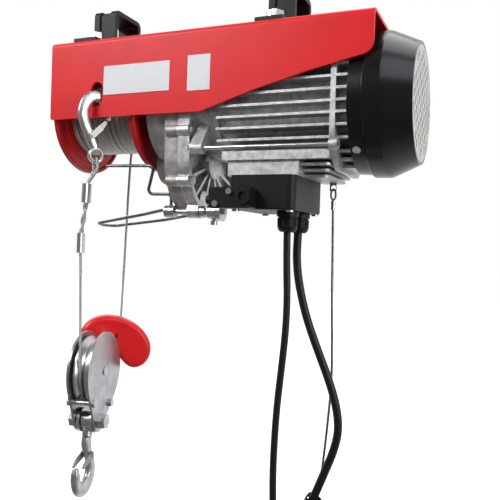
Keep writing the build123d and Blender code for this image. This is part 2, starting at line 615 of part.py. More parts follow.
def block_rod(radius, x, y, z0, z1):
    return BLOCK * Pos(x, y, (z0 + z1) / 2) * Cylinder(radius, z1 - z0)


def block_hex(across, x, y, z0, z1):
    return BLOCK * Pos(x, y, z0) * extrude(RegularPolygon(across / 2, 6, major_radius=False), z1 - z0)


def block_plate(side):
    top = Circle(PLATE_R)
    low = Pos(0, -HOOK_DROP) * Circle(12)
    face = make_hull(top.edges() + low.edges())
    plate = extrude(face, PLATE_T)
    z0 = PLATE_GAP / 2 if side > 0 else -PLATE_GAP / 2 - PLATE_T
    plate = BLOCK * Pos(0, 0, z0) * plate
    for x, y, r in ((0, 0, 5.05), (0, -HOOK_DROP, 5.05), (-PIN_X, -PIN_DROP, 2.8), (PIN_X, -PIN_DROP, 2.8)):
        plate -= block_rod(r, x, y, -30, 30)
    return plate


def sheave():
    width, rim, groove = 15.0, SHEAVE_R + 2.3, 1.8
    half = width / 2
    low, shoulder = SHEAVE_R - 1.9, SHEAVE_R - 1.2
    side = [(-half, 9), (-half, rim), (-half + 2.2, rim), (-groove, shoulder), (-0.9, low)]
    outline = side + [(-h, r) for h, r in reversed(side)]
    face = make_face(Polyline(*[(r, h) for h, r in outline], close=True))
    wheel = revolve(Plane.XZ * face, Axis.Z)
    return BLOCK * wheel


def sheave_rope():
    """Rope round the underside of the sheave, from the front tangent to the rear one."""
    plane = Plane(BLOCK_C, x_dir=LEVEL, z_dir=ACROSS)
    arc = plane * ThreePointArc((-SHEAVE_R, 0), (0, -SHEAVE_R), point_on_sheave(REAR_TANGENT_ANGLE))
    return sweep(Plane(arc @ 0, z_dir=arc % 0) * Circle(ROPE_D / 2), arc)


def point_on_sheave(angle):
    return (SHEAVE_R * math.cos(math.radians(angle)), SHEAVE_R * math.sin(math.radians(angle)))


def sheave_point(angle):
    a, b = point_on_sheave(angle)
    return BLOCK_C + LEVEL * a + Vector(0, 0, b)


def load_hook_frame():
    turn = math.radians(HOOK_SWIVEL)
    across = ACROSS * math.cos(turn) - ALONG * math.sin(turn)
    return Plane(HOOK_PIN, x_dir=ALONG * math.cos(turn) + ACROSS * math.sin(turn), z_dir=across)


def hook_eye():
    """Swivel eye on the hook bolt: ring, neck and a foot that the hook turns under."""
    ring = block_rod(9.5, 0, -HOOK_DROP, -5, 5)
    neck = BLOCK * Pos(0, -HOOK_DROP - 12.5, 0) * Rot(90, 0, 0) * Cylinder(5.6, 9)
    eye = ring + neck - block_rod(5.06, 0, -HOOK_DROP, -10, 10)
    return eye - BLOCK * Pos(0, -HOOK_DROP - 16, 0) * Rot(90, 0, 0) * Cylinder(3.05, 12)


def load_hook(plane):
    nodes = [(0, -26, 6.5), (4.5, -33, 5.4), (12.5, -42, 5.6), (17, -53, 6.6), (15.5, -64, 7.6),
             (7.5, -72, 8.2), (-3.5, -73, 7.6), (-12, -67, 6.2), (-16.5, -57.5, 4.6), (-17.2, -49.5, 3.2)]
    body = plane * tapered_chain(nodes, 9)
    body += plane * Pos(0, -21.5, 0) * Rot(90, 0, 0) * Cylinder(7.2, 8.6)
    stem = plane * Pos(0, -14.1, 0) * Rot(90, 0, 0) * Cylinder(3.0, 7.6)
    return body + stem - plane * Pos(6.5, -37.5, 0) * Cylinder(1.55, 30)


def load_latch(plane):
    """Sheet latch that closes the hook's mouth from the pivot to the inside of the tip."""
    nodes = [(6.5, -37.5, 4.0), (-3, -42.5, 3.6), (-11, -48, 2.3)]
    hollow = [(x, y, r + 2.2) for x, y, r in nodes[:2]] + [(-9, -46.5, 4.9)]
    cheeks = plane * tapered_chain(nodes, 13) - plane * tapered_chain(hollow, 10.2)
    return cheeks - plane * Pos(6.5, -37.5, 0) * Cylinder(1.55, 30)


def make_block():
    save_group("block_side_plates", [block_plate(1), block_plate(-1)])
    bush = block_rod(8.95, 0, 0, -8.2, 8.2) - block_rod(5.06, 0, 0, -20, 20)
    save_group("sheave", [sheave() - block_rod(9.0, 0, 0, -20, 20), bush])
    outer = PLATE_GAP / 2 + PLATE_T
    axle = block_rod(5, 0, 0, -outer - 1.2, outer + 1.2)
    pins = [block_rod(2.75, x, -PIN_DROP, -outer - 3, outer + 3)
            + block_hex(8, x, -PIN_DROP, outer + 0.05, outer + 3.4)
            + block_hex(8, x, -PIN_DROP, -outer - 3.4, -outer - 0.05) for x in (-PIN_X, PIN_X)]
    bolt = block_rod(5, 0, -HOOK_DROP, -outer - 3, outer + 8)
    bolt += block_hex(15, 0, -HOOK_DROP, outer + 0.1, outer + 8.5)
    nut = block_hex(15, 0, -HOOK_DROP, -outer - 8, -outer - 0.1)
    nut -= block_rod(5.02, 0, -HOOK_DROP, -outer - 3.1, -outer)
    hole = block_rod(5.1, 0, -HOOK_DROP, -20, 20)
    discs = [block_rod(13, 0, -HOOK_DROP, middle - 1.6, middle + 1.6) - hole for middle in (-7.6, 7.6)]
    save_group("block_bolts", [axle, bolt, nut] + pins + discs)
    save("sheave_rope", sheave_rope())
    plane = load_hook_frame()
    save("hook_swivel_eye", hook_eye())
    rivet = plane * Pos(6.5, -37.5, 0) * Cylinder(1.5, 15)
    save_group("load_hook", [load_hook(plane), rivet])
    save("load_hook_latch", load_latch(plane))


# ---- Stop weight, ropes and rope-end hook ----------------------------------------------------------
DRUM_TANGENT = Vector(-112.5, FALL_R, AXIS_Z)
WEIGHT_ENTRY = Vector(-117.6, 31.0, -316.0)
FERRULE_LOW = Vector(-103.8, -66.0, -226.0)


def stop_weight():
    """Bean-shaped plastic weight that the drum-side rope runs through."""
    plane = Plane(Vector(-120.3, 33, -334), x_dir=Vector(0.80, 0.60, 0), z_dir=Vector(0.60, -0.80, 0))
    outline = [(-46, 8), (-36, 25), (-19, 31.5), (2, 29.5), (24, 18), (38, -5), (32, -25), (18, -31),
               (4, -22), (-12, -6), (-32, -7)]
    face = make_face(Spline(*outline, periodic=True))
    body = plane * extrude(face, 13, both=True)
    body = fillet(body.edges(), 6)
    x = WEIGHT_ENTRY.X
    channel = [(34.4, -296), (34.4, -380), (-6, -380), (27.0, -310), (27.0, -296)]
    channel = make_face(Polyline(*channel, close=True))
    return body - slab_x(channel, x - 3.4, x + 3.4)


ROPE_EYE = Vector(-90.5, -63.0, -123.0)
ROPE_EYE_SIDE = Vector(math.sin(math.radians(56)), -math.cos(math.radians(56)), 0)


def rope_hook_frame():
    return Plane(ROPE_EYE, x_dir=Vector(-ROPE_EYE_SIDE.Y, ROPE_EYE_SIDE.X, 0), z_dir=ROPE_EYE_SIDE)


def rope_end_hook():
    nodes = [(0, 0, 8.6), (-3, 12, 5.4), (-8, 24, 5.6), (-13, 35, 6.0), (-14.2, 46, 6.2), (-9.5, 57.6, 6.2),
             (0, 62.2, 6.0), (9.2, 57.6, 5.4), (13, 48, 4.4), (13, 38.5, 3.2)]
    plane = rope_hook_frame()
    body = plane * tapered_chain(nodes, 7) - plane * Cylinder(4.6, 20)
    return body - plane * Pos(-5.4, 20, 0) * Cylinder(1.3, 20)


def rope_hook_latch():
    nodes = [(-5.4, 20, 3.2), (2.5, 28, 3.0), (7.6, 34.4, 2.0)]
    plane = rope_hook_frame()
    cheeks = plane * tapered_chain(nodes, 10.4)
    cheeks -= plane * tapered_chain([(-6, 19, 6.0), (2.5, 28, 4.8), (4.2, 30.2, 4.2)], 7.8)
    return cheeks - plane * Pos(-5.4, 20, 0) * Cylinder(1.3, 20)


def make_ropes():
    save("stop_weight", stop_weight())
    rear = sheave_point(REAR_TANGENT_ANGLE)
    rise = (WEIGHT_ENTRY - rear).normalized() * 0.3
    upper = straight_rod(DRUM_TANGENT, WEIGHT_ENTRY, ROPE_D / 2)
    lower = straight_rod(WEIGHT_ENTRY, rear + rise, ROPE_D / 2)
    knuckle = Pos(*tuple(WEIGHT_ENTRY)) * Sphere(ROPE_D / 2)
    save("drum_side_rope", upper + lower + knuckle)
    gap = Vector(0, 0, 0.5)
    save("dead_end_rope", straight_rod(FERRULE_LOW - gap, sheave_point(180) + gap, ROPE_D / 2))
    eye, side = ROPE_EYE, ROPE_EYE_SIDE * 5.8
    top = Vector(-98.0, -66.1, -152.0)
    up, over = Vector(0, 0, -7), Vector(0, 0, -2.9)
    left = [top - side * 0.36, eye - side + up, eye - side + over]
    right = [eye + side + over, eye + side + up, top + side * 0.36]
    loop = bent_wire(left + right, (12, 3, 3, 12), ROPE_D)
    pair = [straight_rod((-104.1, -67.9, -204.6), (-98.6, -68.0, -173.4), ROPE_D / 2),
            straight_rod((-103.3, -64.3, -204.6), (-97.8, -64.2, -173.4), ROPE_D / 2)]
    save_group("rope_end_loop", [loop] + pair)
    ferrules = [oval_sleeve(Vector(-97.9, -66.1, -153), Vector(-98.6, -66.0, -173), 6.0, 4.4),
                oval_sleeve(Vector(-103.6, -66.0, -205), FERRULE_LOW, 5.0, 3.8)]
    small = [rod_z(2.3, -172.9, -163.6, 145.6, 20),
             straight_rod((139.3, 8.4, -475.1), (136.2, 8.3, -486), 2.3)]
    save_group("rope_ferrules", ferrules + small)
    rivet = rope_hook_frame() * Pos(-5.4, 20, 0) * Cylinder(1.25, 12)
    save_group("rope_end_hook", [rope_end_hook(), rivet])
    save("rope_hook_latch", rope_hook_latch())


def oval_sleeve(top, bottom, half_wide, half_thin):
    plane = Plane(bottom, x_dir=Vector(0, 1, 0), z_dir=top - bottom)
    return plane * extrude(Ellipse(half_wide, half_thin), (top - bottom).length)


# ---- Cables, plug and pendant ----------------------------------------------------------------------
def coil_ring(coil, cord_d):
    """Short open tube in the outer shape of a coil whose axis runs along Y."""
    x, y, z, radius, half_width = coil
    inner, outer = radius - cord_d / 2 - 0.1, radius + cord_d / 2 + 0.1
    ring = rod_y(outer, y - half_width, y + half_width, x, z)
    return ring - rod_y(inner, y - half_width - 1, y + half_width + 1, x, z)


def plug():
    x, y = MAINS_TAIL[-1][0], MAINS_TAIL[-1][1]
    cone = Pos(x, y, PLUG_TOP + 8) * Cone(5.6, 4.2, 16)
    grip = Pos(x, y, PLUG_TOP - 12) * Cone(17, 8.5, 24)
    body = grip + rod_z(18.5, PLUG_TOP - 40, PLUG_TOP - 24, x, y) + cone
    body -= rod_z(16, PLUG_TOP - 41, PLUG_TOP - 37, x, y)
    for offset in (-9.5, 9.5):
        body += rod_z(2.4, PLUG_TOP - 56, PLUG_TOP - 36, x + offset, y)
    return body


def pendant_half(side):
    """Front (side -1) or back (side +1) half shell of the hand control."""
    half_w, depth, length = 28.0, 17.0, 152.0
    x, y, top = PENDANT_X, PENDANT_Y, PENDANT_TOP
    corners = [(x - 17, top), (x + 17, top), (x + half_w, top - 22), (x + half_w - 5, top - length),
               (x - half_w + 5, top - length), (x - half_w, top - 22)]
    outline = make_face(FilletPolyline(*corners, radius=[5, 5, 10, 12, 12, 10], close=True))
    shell = slab_y(outline, y - depth, y - 0.05) if side < 0 else slab_y(outline, y + 0.05, y + depth)
    face_edges = shell.faces().sort_by(Axis.Y)[0 if side < 0 else -1].edges()
    shell = fillet(face_edges, 3.5)
    inner = offset(outline, -2.6)
    shell -= slab_y(inner, y - depth + 2.6, y + 1) if side < 0 else slab_y(inner, y - 1, y + depth - 2.6)
    shell -= rod_z(6.2, top - 10, top + 2, x, y)
    if side < 0:
        shell -= rod_y(7.3, y - depth - 1, y - depth + 4, x, top - 30)
        for z in (top - 68, top - 104):
            shell -= box(x - 12.3, x + 12.3, y - depth - 1, y - depth + 4, z - 12.3, z + 12.3)
    return shell


def pendant_button(z):
    x, y = PENDANT_X, PENDANT_Y - 17.0
    cap = box(x - 12, x + 12, y - 4.6, y + 3.2, z - 12, z + 12)
    cap = fillet(cap.edges().filter_by(Axis.Y), 3)
    return cap + box(x - 13.4, x + 13.4, y + 2.8, y + 4.4, z - 13.4, z + 13.4)


def stop_button():
    x, y, z = PENDANT_X, PENDANT_Y - 17.0, PENDANT_TOP - 30
    head = rod_y(14, y - 13, y - 7, x, z)
    head = fillet(head.edges().group_by(Axis.Y)[0], 2.5)
    return head + rod_y(7, y - 8, y + 3, x, z) + rod_y(9, y + 2.8, y + 4.4, x, z)


def make_cables():
    mains = [soft_tube("mains cable", MAINS_ROUTE, MAINS_D), soft_tube("mains tail", MAINS_TAIL, MAINS_D)]
    control = [soft_tube("control cable", CONTROL_ROUTE, CONTROL_D),
               soft_tube("control tail", CONTROL_TAIL, CONTROL_D)]
    mains_coil = coil_ring(MAINS_COIL, MAINS_D)
    control_coil = coil_ring(CONTROL_COIL, CONTROL_D)
    save_group("mains_cable", [tube - mains_coil for tube in mains])
    save_group("control_cable", [tube - control_coil for tube in control])
    save("mains_coil", mains_coil)
    save("control_coil", control_coil)
    save("mains_plug", plug())
    save("safety_rope", soft_tube("safety rope", SAFETY_ROUTE, SAFETY_D))
    eyelet = Plane.XZ * Pos(145.6, -157.2) * (Ellipse(3.4, 6.4) - Ellipse(1.6, 4.4))
    lug = Pos(0, 20, 0) * extrude(eyelet, 1.2, both=True)
    tab = box(141.6, 148.6, 19.0, 21.0, -153.6, MOTOR_BOTTOM + 7.0) - rod_y(2.6, 10, 30, 145.6, -150.2)
    save_group("safety_tab", [tab, lug])
    save_group("cable_ties", [tie_band(Vector(139.6, 4.0, -468), 17, 13), coil_tie(MAINS_COIL, MAINS_D),
                              coil_tie(CONTROL_COIL, CONTROL_D)])


def tie_band(centre, wide_y, wide_x):
    plane = Plane(centre, x_dir=Vector(1, 0, -0.42), z_dir=Vector(0.42, 0, 1))
    strap = RectangleRounded(wide_x + 2.4, wide_y + 2.4, 5.5) - RectangleRounded(wide_x, wide_y, 5)
    head = Pos(wide_x / 2 + 2.6, 0, 0) * Box(4, 5, 5.5)
    return plane * (extrude(strap, 2.4, both=True) + head)


def coil_tie(coil, cord_d):
    """Strap round all the turns at the bottom of a coil."""
    x, y, z, radius, half_width = coil
    low, half = z - radius, half_width + 0.2
    inner = box(x - 3, x + 3, y - half, y + half, low - cord_d / 2 - 0.8, low + cord_d / 2 + 0.9)
    half += 1.4
    outer = box(x - 2.2, x + 2.2, y - half, y + half, low - cord_d / 2 - 2.4, low + cord_d / 2 + 2.2)
    return outer - inner


def make_pendant():
    save("pendant_front", pendant_half(-1))
    relief = Pos(PENDANT_X, PENDANT_Y, PENDANT_TOP + 5.5) * Cone(6.1, 5.2, 29)
    save_group("pendant_back", [pendant_half(1), relief])
    save("up_button", pendant_button(PENDANT_TOP - 68))
    save("down_button", pendant_button(PENDANT_TOP - 104))
    save("stop_button", stop_button())


make_bracket()
make_drum()
make_gearbox()
make_motor()
make_terminal_box()
make_switch()
make_fasteners()
make_lever()
make_block()
make_ropes()
make_cables()
make_pendant()
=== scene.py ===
"""Looks for the electric wire-rope hoist: materials, ropes, cords, hooks, studio and camera, in metres."""

import math

import bmesh
import bpy
from mathutils import Matrix, Vector


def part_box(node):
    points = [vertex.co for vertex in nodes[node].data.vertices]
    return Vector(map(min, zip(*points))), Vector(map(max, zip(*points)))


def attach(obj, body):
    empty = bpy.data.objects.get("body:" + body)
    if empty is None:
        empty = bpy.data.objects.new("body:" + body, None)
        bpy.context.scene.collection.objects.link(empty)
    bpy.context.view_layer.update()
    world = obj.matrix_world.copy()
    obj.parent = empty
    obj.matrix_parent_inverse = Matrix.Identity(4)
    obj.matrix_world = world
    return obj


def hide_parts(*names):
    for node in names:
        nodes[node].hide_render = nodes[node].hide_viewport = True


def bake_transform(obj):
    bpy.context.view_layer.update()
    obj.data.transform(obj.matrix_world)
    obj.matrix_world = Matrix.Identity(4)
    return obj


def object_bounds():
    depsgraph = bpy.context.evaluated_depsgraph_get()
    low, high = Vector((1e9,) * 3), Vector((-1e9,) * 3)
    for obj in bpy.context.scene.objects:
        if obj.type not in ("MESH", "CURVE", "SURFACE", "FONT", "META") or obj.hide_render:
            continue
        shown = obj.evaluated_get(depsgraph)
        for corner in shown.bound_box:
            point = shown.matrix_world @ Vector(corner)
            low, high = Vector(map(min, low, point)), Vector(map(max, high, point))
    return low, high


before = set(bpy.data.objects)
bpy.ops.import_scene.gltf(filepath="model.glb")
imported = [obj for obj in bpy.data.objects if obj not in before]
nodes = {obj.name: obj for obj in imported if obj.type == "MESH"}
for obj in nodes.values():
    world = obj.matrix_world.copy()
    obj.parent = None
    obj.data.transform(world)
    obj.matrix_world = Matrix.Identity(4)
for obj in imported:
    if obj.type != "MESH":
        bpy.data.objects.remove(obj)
cad_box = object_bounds()
MM = 0.001

# ---- Dimensions, as in the CAD ---------------------------------------------------------------------
AXIS_Z = -73.5
FALL_R = 40.35
ROPE_D = 3.0
LAY = 17.0  # length of one turn of the rope's strands
STRAND_COUNT = 6
TURN_PITCH = 3.02  # spacing of the wound rope's turns
GAP_EVERY, TURN_GAP = 2, 1.1  # a gap follows every second turn
TURN_STEPS = 72
UNDER_R = 35.6  # top of the layer of rope below
BLOCK_C = Vector((-110.0, -27.0, -358.0))
BLOCK_YAW, BLOCK_TILT = math.radians(-12.5), math.radians(12.0)
SHEAVE_R, HOOK_DROP = 36.0, 54.0
HOOK_SWIVEL = math.radians(2.0)
REAR_TANGENT = math.radians(-22.0)
FALL_LEAN = 3.0  # how far the drum-side fall leans in, clear of the limit lever's loop
LEAN_FULL = 0.2  # where along the fall that is reached, as a part of its length
DRUM_TANGENT = Vector((-112.5, FALL_R, AXIS_Z))
WEIGHT_ENTRY = Vector((-117.6, 31.0, -316.0))
FERRULE_LOW = Vector((-103.8, -66.0, -226.0))
ROPE_EYE = Vector((-90.5, -63.0, -123.0))
LOOP_TOP = Vector((-98.0, -66.1, -153.2))
PAIR_TOP, PAIR_FOOT = Vector((-98.4, -66.1, -172.5)), Vector((-103.7, -66.1, -205.5))
LOOP_HALF = 5.8  # half the width of the rope's eye
ROPE_HOOK_TURN = math.radians(56.0)
MAINS_D, CONTROL_D, SAFETY_D = 7.0, 8.5, 2.5
GLAND_TOP = -178.2
GLANDS = ((118.0, -40.0, MAINS_D), (118.0, -5.0, CONTROL_D))  # x, y and bore
FLOOR_DROP = 0.38  # metres that the floor lies below the model, clear of the hook at the end of its travel
FLOOR_REACH = 12.0

# The routes of the cords, as in the CAD.
MAINS_ROUTE = [(118, -40, -195), (118, -40, -202), (118.6, -40, -229), (120.2, -39.5, -262),
               (119.4, -39, -295), (116.2, -38.2, -330), (112.6, -37.4, -366), (110.8, -36.6, -402),
               (110.2, -36, -436), (111.4, -35.5, -468), (111.2, -35, -497)]
CONTROL_ROUTE = [(117, -5, -195), (117, -5, -202), (116.2, -4.6, -222), (118.8, -3.6, -247),
                 (127, -2.4, -280), (139, -1.2, -311), (152.6, -0.6, -342), (161.6, -0.2, -368),
                 (165, 0, -392), (160.4, 0, -414), (151.6, 0, -437), (142, 0.4, -462),
                 (130.6, 1, -487), (126, 2, -511)]
SAFETY_ROUTE = [(145.6, 20, -173), (146.8, 19.6, -215), (148, 18.6, -262), (150.2, 17.2, -306),
                (151.8, 15.6, -345), (150.4, 13, -381), (148.2, 10.8, -416), (145.6, 8.6, -450),
                (139.2, 8.4, -475)]
MAINS_TAIL = [(111.2, 1, -545), (111.5, 1, -565.7)]
CONTROL_TAIL = [(125.4, 36.8, -566), (125, 36.8, -597.7)]
MAINS_COIL = (73.0, -35.0, -525.0, 38.5, 5, 7.2)  # centre, radius, turns, step along Y
CONTROL_COIL = (172.0, 2.0, -535.0, 47.0, 4, 8.7)
COIL_STEPS = 16  # control points in a turn of a coil
SPLINE_INSIDE = 0.987  # the spline's radius over that of its control points, at that many

# Camera and light, in metres.
CAMERA_PLACE = (0.3224, -0.6093, -0.2108)
CAMERA_AZIMUTH, CAMERA_PITCH, CAMERA_ROLL = math.radians(23.07), math.radians(-0.54), math.radians(1.92)
CAMERA_LENS, CAMERA_SENSOR = 45.36, 36
MIDDLE, FAN_CONE = (0.03, 0, -0.15), (0.17, 0, -0.07)
WORLD_FRONT, WORLD_BACK = 0.2, 1.0  # strength of the surroundings on the camera's side and behind the object
WHITE, COOL = (1, 1, 1), (0.86, 0.92, 1.0)


# ---- Materials -------------------------------------------------------------------------------------
def surface(name, colour, metallic=0.0, rough=0.4, grain=300.0, bump=0.1, spread=0.12, coat=0.0, ior=None,
            patch=40.0):
    """Principled surface with fine grain bump, patchy colour and uneven roughness, all in object space."""
    material = bpy.data.materials.new(name)
    material.use_nodes = True
    tree = material.node_tree
    shader = tree.nodes["Principled BSDF"]
    shader.inputs["Metallic"].default_value = metallic
    if coat:
        shader.inputs["Coat Weight"].default_value = coat
        shader.inputs["Coat Roughness"].default_value = 0.04
    if ior:
        shader.inputs["IOR"].default_value = ior
    place = tree.nodes.new("ShaderNodeTexCoord")
    broad = tree.nodes.new("ShaderNodeTexNoise")
    broad.inputs["Scale"].default_value = patch
    broad.inputs["Detail"].default_value = 6
    fine = tree.nodes.new("ShaderNodeTexNoise")
    fine.inputs["Scale"].default_value = grain
    fine.inputs["Detail"].default_value = 4
    tree.links.new(place.outputs["Object"], broad.inputs["Vector"])
    tree.links.new(place.outputs["Object"], fine.inputs["Vector"])
    ramp = tree.nodes.new("ShaderNodeValToRGB")
    ramp.color_ramp.elements[0].position = 0.3
    ramp.color_ramp.elements[1].position = 0.7
    ramp.color_ramp.elements[0].color = (*[max(0, c * (1 - spread)) for c in colour], 1)
    ramp.color_ramp.elements[1].color = (*[min(1, c * (1 + spread)) for c in colour], 1)
    tree.links.new(broad.outputs["Fac"], ramp.inputs["Fac"])
    tree.links.new(ramp.outputs["Color"], shader.inputs["Base Color"])
    span = tree.nodes.new("ShaderNodeMapRange")
    span.inputs["To Min"].default_value = max(0.02, rough * 0.75)
    span.inputs["To Max"].default_value = min(1, rough * 1.3)
    tree.links.new(fine.outputs["Fac"], span.inputs["Value"])
    tree.links.new(span.outputs["Result"], shader.inputs["Roughness"])
    relief = tree.nodes.new("ShaderNodeBump")
    relief.inputs["Strength"].default_value = bump
    relief.inputs["Distance"].default_value = 0.0006
    tree.links.new(fine.outputs["Fac"], relief.inputs["Height"])
    tree.links.new(relief.outputs["Normal"], shader.inputs["Normal"])
    return material


def rope_surface():
    """Bright wire with painted shade in its helical grooves, from a UV map of the rope's length and turn."""
    material = surface("wire rope", (0.50, 0.50, 0.48), 0.9, 0.38, grain=1500, bump=0.1)
    tree = material.node_tree
    shader = tree.nodes["Principled BSDF"]
    place = tree.nodes.new("ShaderNodeUVMap")
    split = tree.nodes.new("ShaderNodeSeparateXYZ")
    tree.links.new(place.outputs["UV"], split.inputs["Vector"])
    along = tree.nodes.new("ShaderNodeMath")
    along.operation = "MULTIPLY_ADD"
    along.inputs[1].default_value = 1.0 / (LAY * MM)
    tree.links.new(split.outputs["X"], along.inputs[0])
    tree.links.new(split.outputs["Y"], along.inputs[2])
    strands = tree.nodes.new("ShaderNodeMath")
    strands.operation = "MULTIPLY"
    strands.inputs[1].default_value = STRAND_COUNT * math.pi
    tree.links.new(along.outputs[0], strands.inputs[0])
    sine = tree.nodes.new("ShaderNodeMath")
    sine.operation = "SINE"
    tree.links.new(strands.outputs[0], sine.inputs[0])
    height = tree.nodes.new("ShaderNodeMath")
    height.operation = "ABSOLUTE"
    tree.links.new(sine.outputs[0], height.inputs[0])
    ramp = tree.nodes.new("ShaderNodeValToRGB")
    # The dark end of the ramp is painted shade in the grooves between strands.
    ramp.color_ramp.elements[0].color = (0.08, 0.075, 0.07, 1)
    ramp.color_ramp.elements[1].position = 0.55
    ramp.color_ramp.elements[1].color = (0.60, 0.60, 0.57, 1)
    tree.links.new(height.outputs[0], ramp.inputs["Fac"])
    tree.links.new(ramp.outputs["Color"], shader.inputs["Base Color"])
    relief = next(n for n in tree.nodes if n.type == "BUMP")
    relief.inputs["Strength"].default_value = 0.8
    tree.links.new(height.outputs[0], relief.inputs["Height"])
    return material


RED = surface("red powder coat", (0.68, 0.008, 0.012), 0.0, 0.42, 1400, 0.07, 0.05, ior=1.35)
# The drum is red like the bracket; its darker red is painted shade.
SHADED_DRUM_RED = surface("drum red with painted shade", (0.46, 0.005, 0.009), 0.0, 0.38, 900, 0.06, 0.12, ior=1.42)
BEAN_RED = surface("red moulding", (0.72, 0.010, 0.014), 0.0, 0.3, 700, 0.03, 0.05, ior=1.42)
CAST = surface("blasted aluminium", (0.47, 0.47, 0.48), 0.75, 0.42, 1100, 0.7, 0.28, patch=160)
FLANGE_CAST = surface("bright casting", (0.55, 0.55, 0.56), 0.85, 0.33, 800, 0.6, 0.3, patch=140)
GEAR_CAST = surface("dull casting", (0.36, 0.34, 0.33), 0.6, 0.5, 700, 0.6, 0.3, patch=110)
ZINC = surface("zinc plate", (0.52, 0.53, 0.51), 0.95, 0.24, 500, 0.12, 0.16, patch=110)
GALVANISED = surface("galvanised sheet", (0.43, 0.44, 0.46), 0.95, 0.3, 350, 0.18, 0.2, patch=70)
LATCH = surface("pressed latch", (0.30, 0.30, 0.30), 0.85, 0.42, 600, 0.3, 0.2, patch=90)
FORGED = surface("zinc forging", (0.46, 0.46, 0.445), 0.92, 0.32, 420, 0.4, 0.25, patch=120)
STEEL = surface("machined steel", (0.55, 0.55, 0.55), 1.0, 0.3, 900, 0.08, 0.1)
DARK_WIRE = surface("dark plated wire", (0.17, 0.17, 0.17), 0.9, 0.33, 900, 0.15, 0.3, patch=150)
BLACK = surface("black moulding", (0.006, 0.006, 0.007), 0.0, 0.45, 1500, 0.1, 0.25, ior=1.32)
GLOSS = surface("gloss black cover", (0.004, 0.004, 0.005), 0.0, 0.22, 900, 0.02, 0.2, ior=1.4)
RUBBER = surface("black sheath", (0.006, 0.006, 0.007), 0.0, 0.42, 2500, 0.02, 0.25, ior=1.38)
LIGHT_GRILLE = surface("light sheet", (0.44, 0.43, 0.41), 0.1, 0.4, 900, 0.06, 0.06)
LABEL = surface("label enamel", (0.66, 0.665, 0.68), 0.0, 0.4, 900, 0.02, 0.03)
COPPER = surface("windings", (0.45, 0.19, 0.07), 0.8, 0.35, 900, 0.5, 0.3)
GREEN = surface("green key", (0.01, 0.25, 0.05), 0.0, 0.3, 900, 0.04, 0.05, coat=0.3)
ROPE = rope_surface()

CAD_LOOKS = {
    RED: ["bracket"],
    SHADED_DRUM_RED: ["rope_drum"],
    BEAN_RED: ["stop_weight", "stop_button"],
    CAST: ["motor_housing", "motor_rear_shield", "motor_front_shield"],
    FLANGE_CAST: ["gear_flange"],
    GEAR_CAST: ["gear_housing"],
    ZINC: ["saddle_bolts", "case_screws", "tie_rods", "lever_fittings", "safety_tab", "block_bolts",
           "hook_swivel_eye"],
    LATCH: ["load_hook_latch", "rope_hook_latch"],
    GALVANISED: ["block_side_plates"],
    STEEL: ["drum_shaft", "drum_gear", "layshaft_pinion", "layshaft_gear", "motor_shaft", "rotor_core",
            "brake_disc", "shaft_bearings", "lever_shaft", "sheave", "rope_ferrules"],
    DARK_WIRE: ["lever_wires"],
    BLACK: ["beam_saddles", "terminal_base", "terminal_tray", "limit_switch", "cooling_fan", "mains_plug",
            "cable_ties"],
    GLOSS: ["fan_cover", "pendant_front", "pendant_back", "run_capacitor"],
    LIGHT_GRILLE: ["fan_grille"],
    LABEL: ["blank_labels"],
    COPPER: ["stator"],
    GREEN: ["up_button", "down_button"],
}
EDGE_WIDTHS = {"bracket": 0.5, "beam_saddles": 0.5, "motor_housing": 0.35, "gear_flange": 0.5,
               "gear_housing": 0.5, "terminal_base": 0.3, "terminal_tray": 0.3, "block_side_plates": 0.35,
               "limit_switch": 0.3, "saddle_bolts": 0.3, "block_bolts": 0.3, "motor_rear_shield": 0.35,
               "case_screws": 0.2}


def dress_cad_nodes():
    """The CAD's own pieces get their materials, smooth shading and softened edges."""
    for material, names in CAD_LOOKS.items():
        for name in names:
            piece = nodes[name]
            piece.data.materials.clear()
            piece.data.materials.append(material)
            piece.data.shade_smooth()
            piece.data.set_sharp_from_angle(angle=math.radians(32))
            if name in EDGE_WIDTHS:
                bevel = piece.modifiers.new("soft edges", "BEVEL")
                bevel.width = EDGE_WIDTHS[name] * MM
                bevel.segments = 2
                bevel.limit_method = "ANGLE"
                bevel.angle_limit = math.radians(40)
                bevel.harden_normals = True


# ---- Mesh building ---------------------------------------------------------------------------------
def add_mesh(name, vertices, faces, material, uvs=None):
    mesh = bpy.data.meshes.new(name)
    mesh.from_pydata([Vector(v) * MM for v in vertices], [], faces)
    if uvs:
        layer = mesh.uv_layers.new(name="UVMap")
        for loop, uv in zip(layer.data, uvs):
            loop.uv = uv
    mesh.materials.append(material)
    mesh.shade_smooth()
    mesh.set_sharp_from_angle(angle=math.radians(40))
    piece = bpy.data.objects.new(name, mesh)
    bpy.context.collection.objects.link(piece)
    return piece


def smooth_line(points, step):
    """Catmull-Rom line through the points, in steps of about step. Works on Vectors of any size."""
    ends = [points[0] * 2 - points[1]] + list(points) + [points[-1] * 2 - points[-2]]
    line = []
    for a, b, c, d in zip(ends, ends[1:], ends[2:], ends[3:]):
        count = max(2, round((c - b).length / step))
        for i in range(count):
            t = i / count
            line.append(0.5 * ((2 * b) + (c - a) * t + (2 * a - 5 * b + 4 * c - d) * t**2
                               + (3 * b - a - 3 * c + d) * t**3))
    return line + [points[-1]]


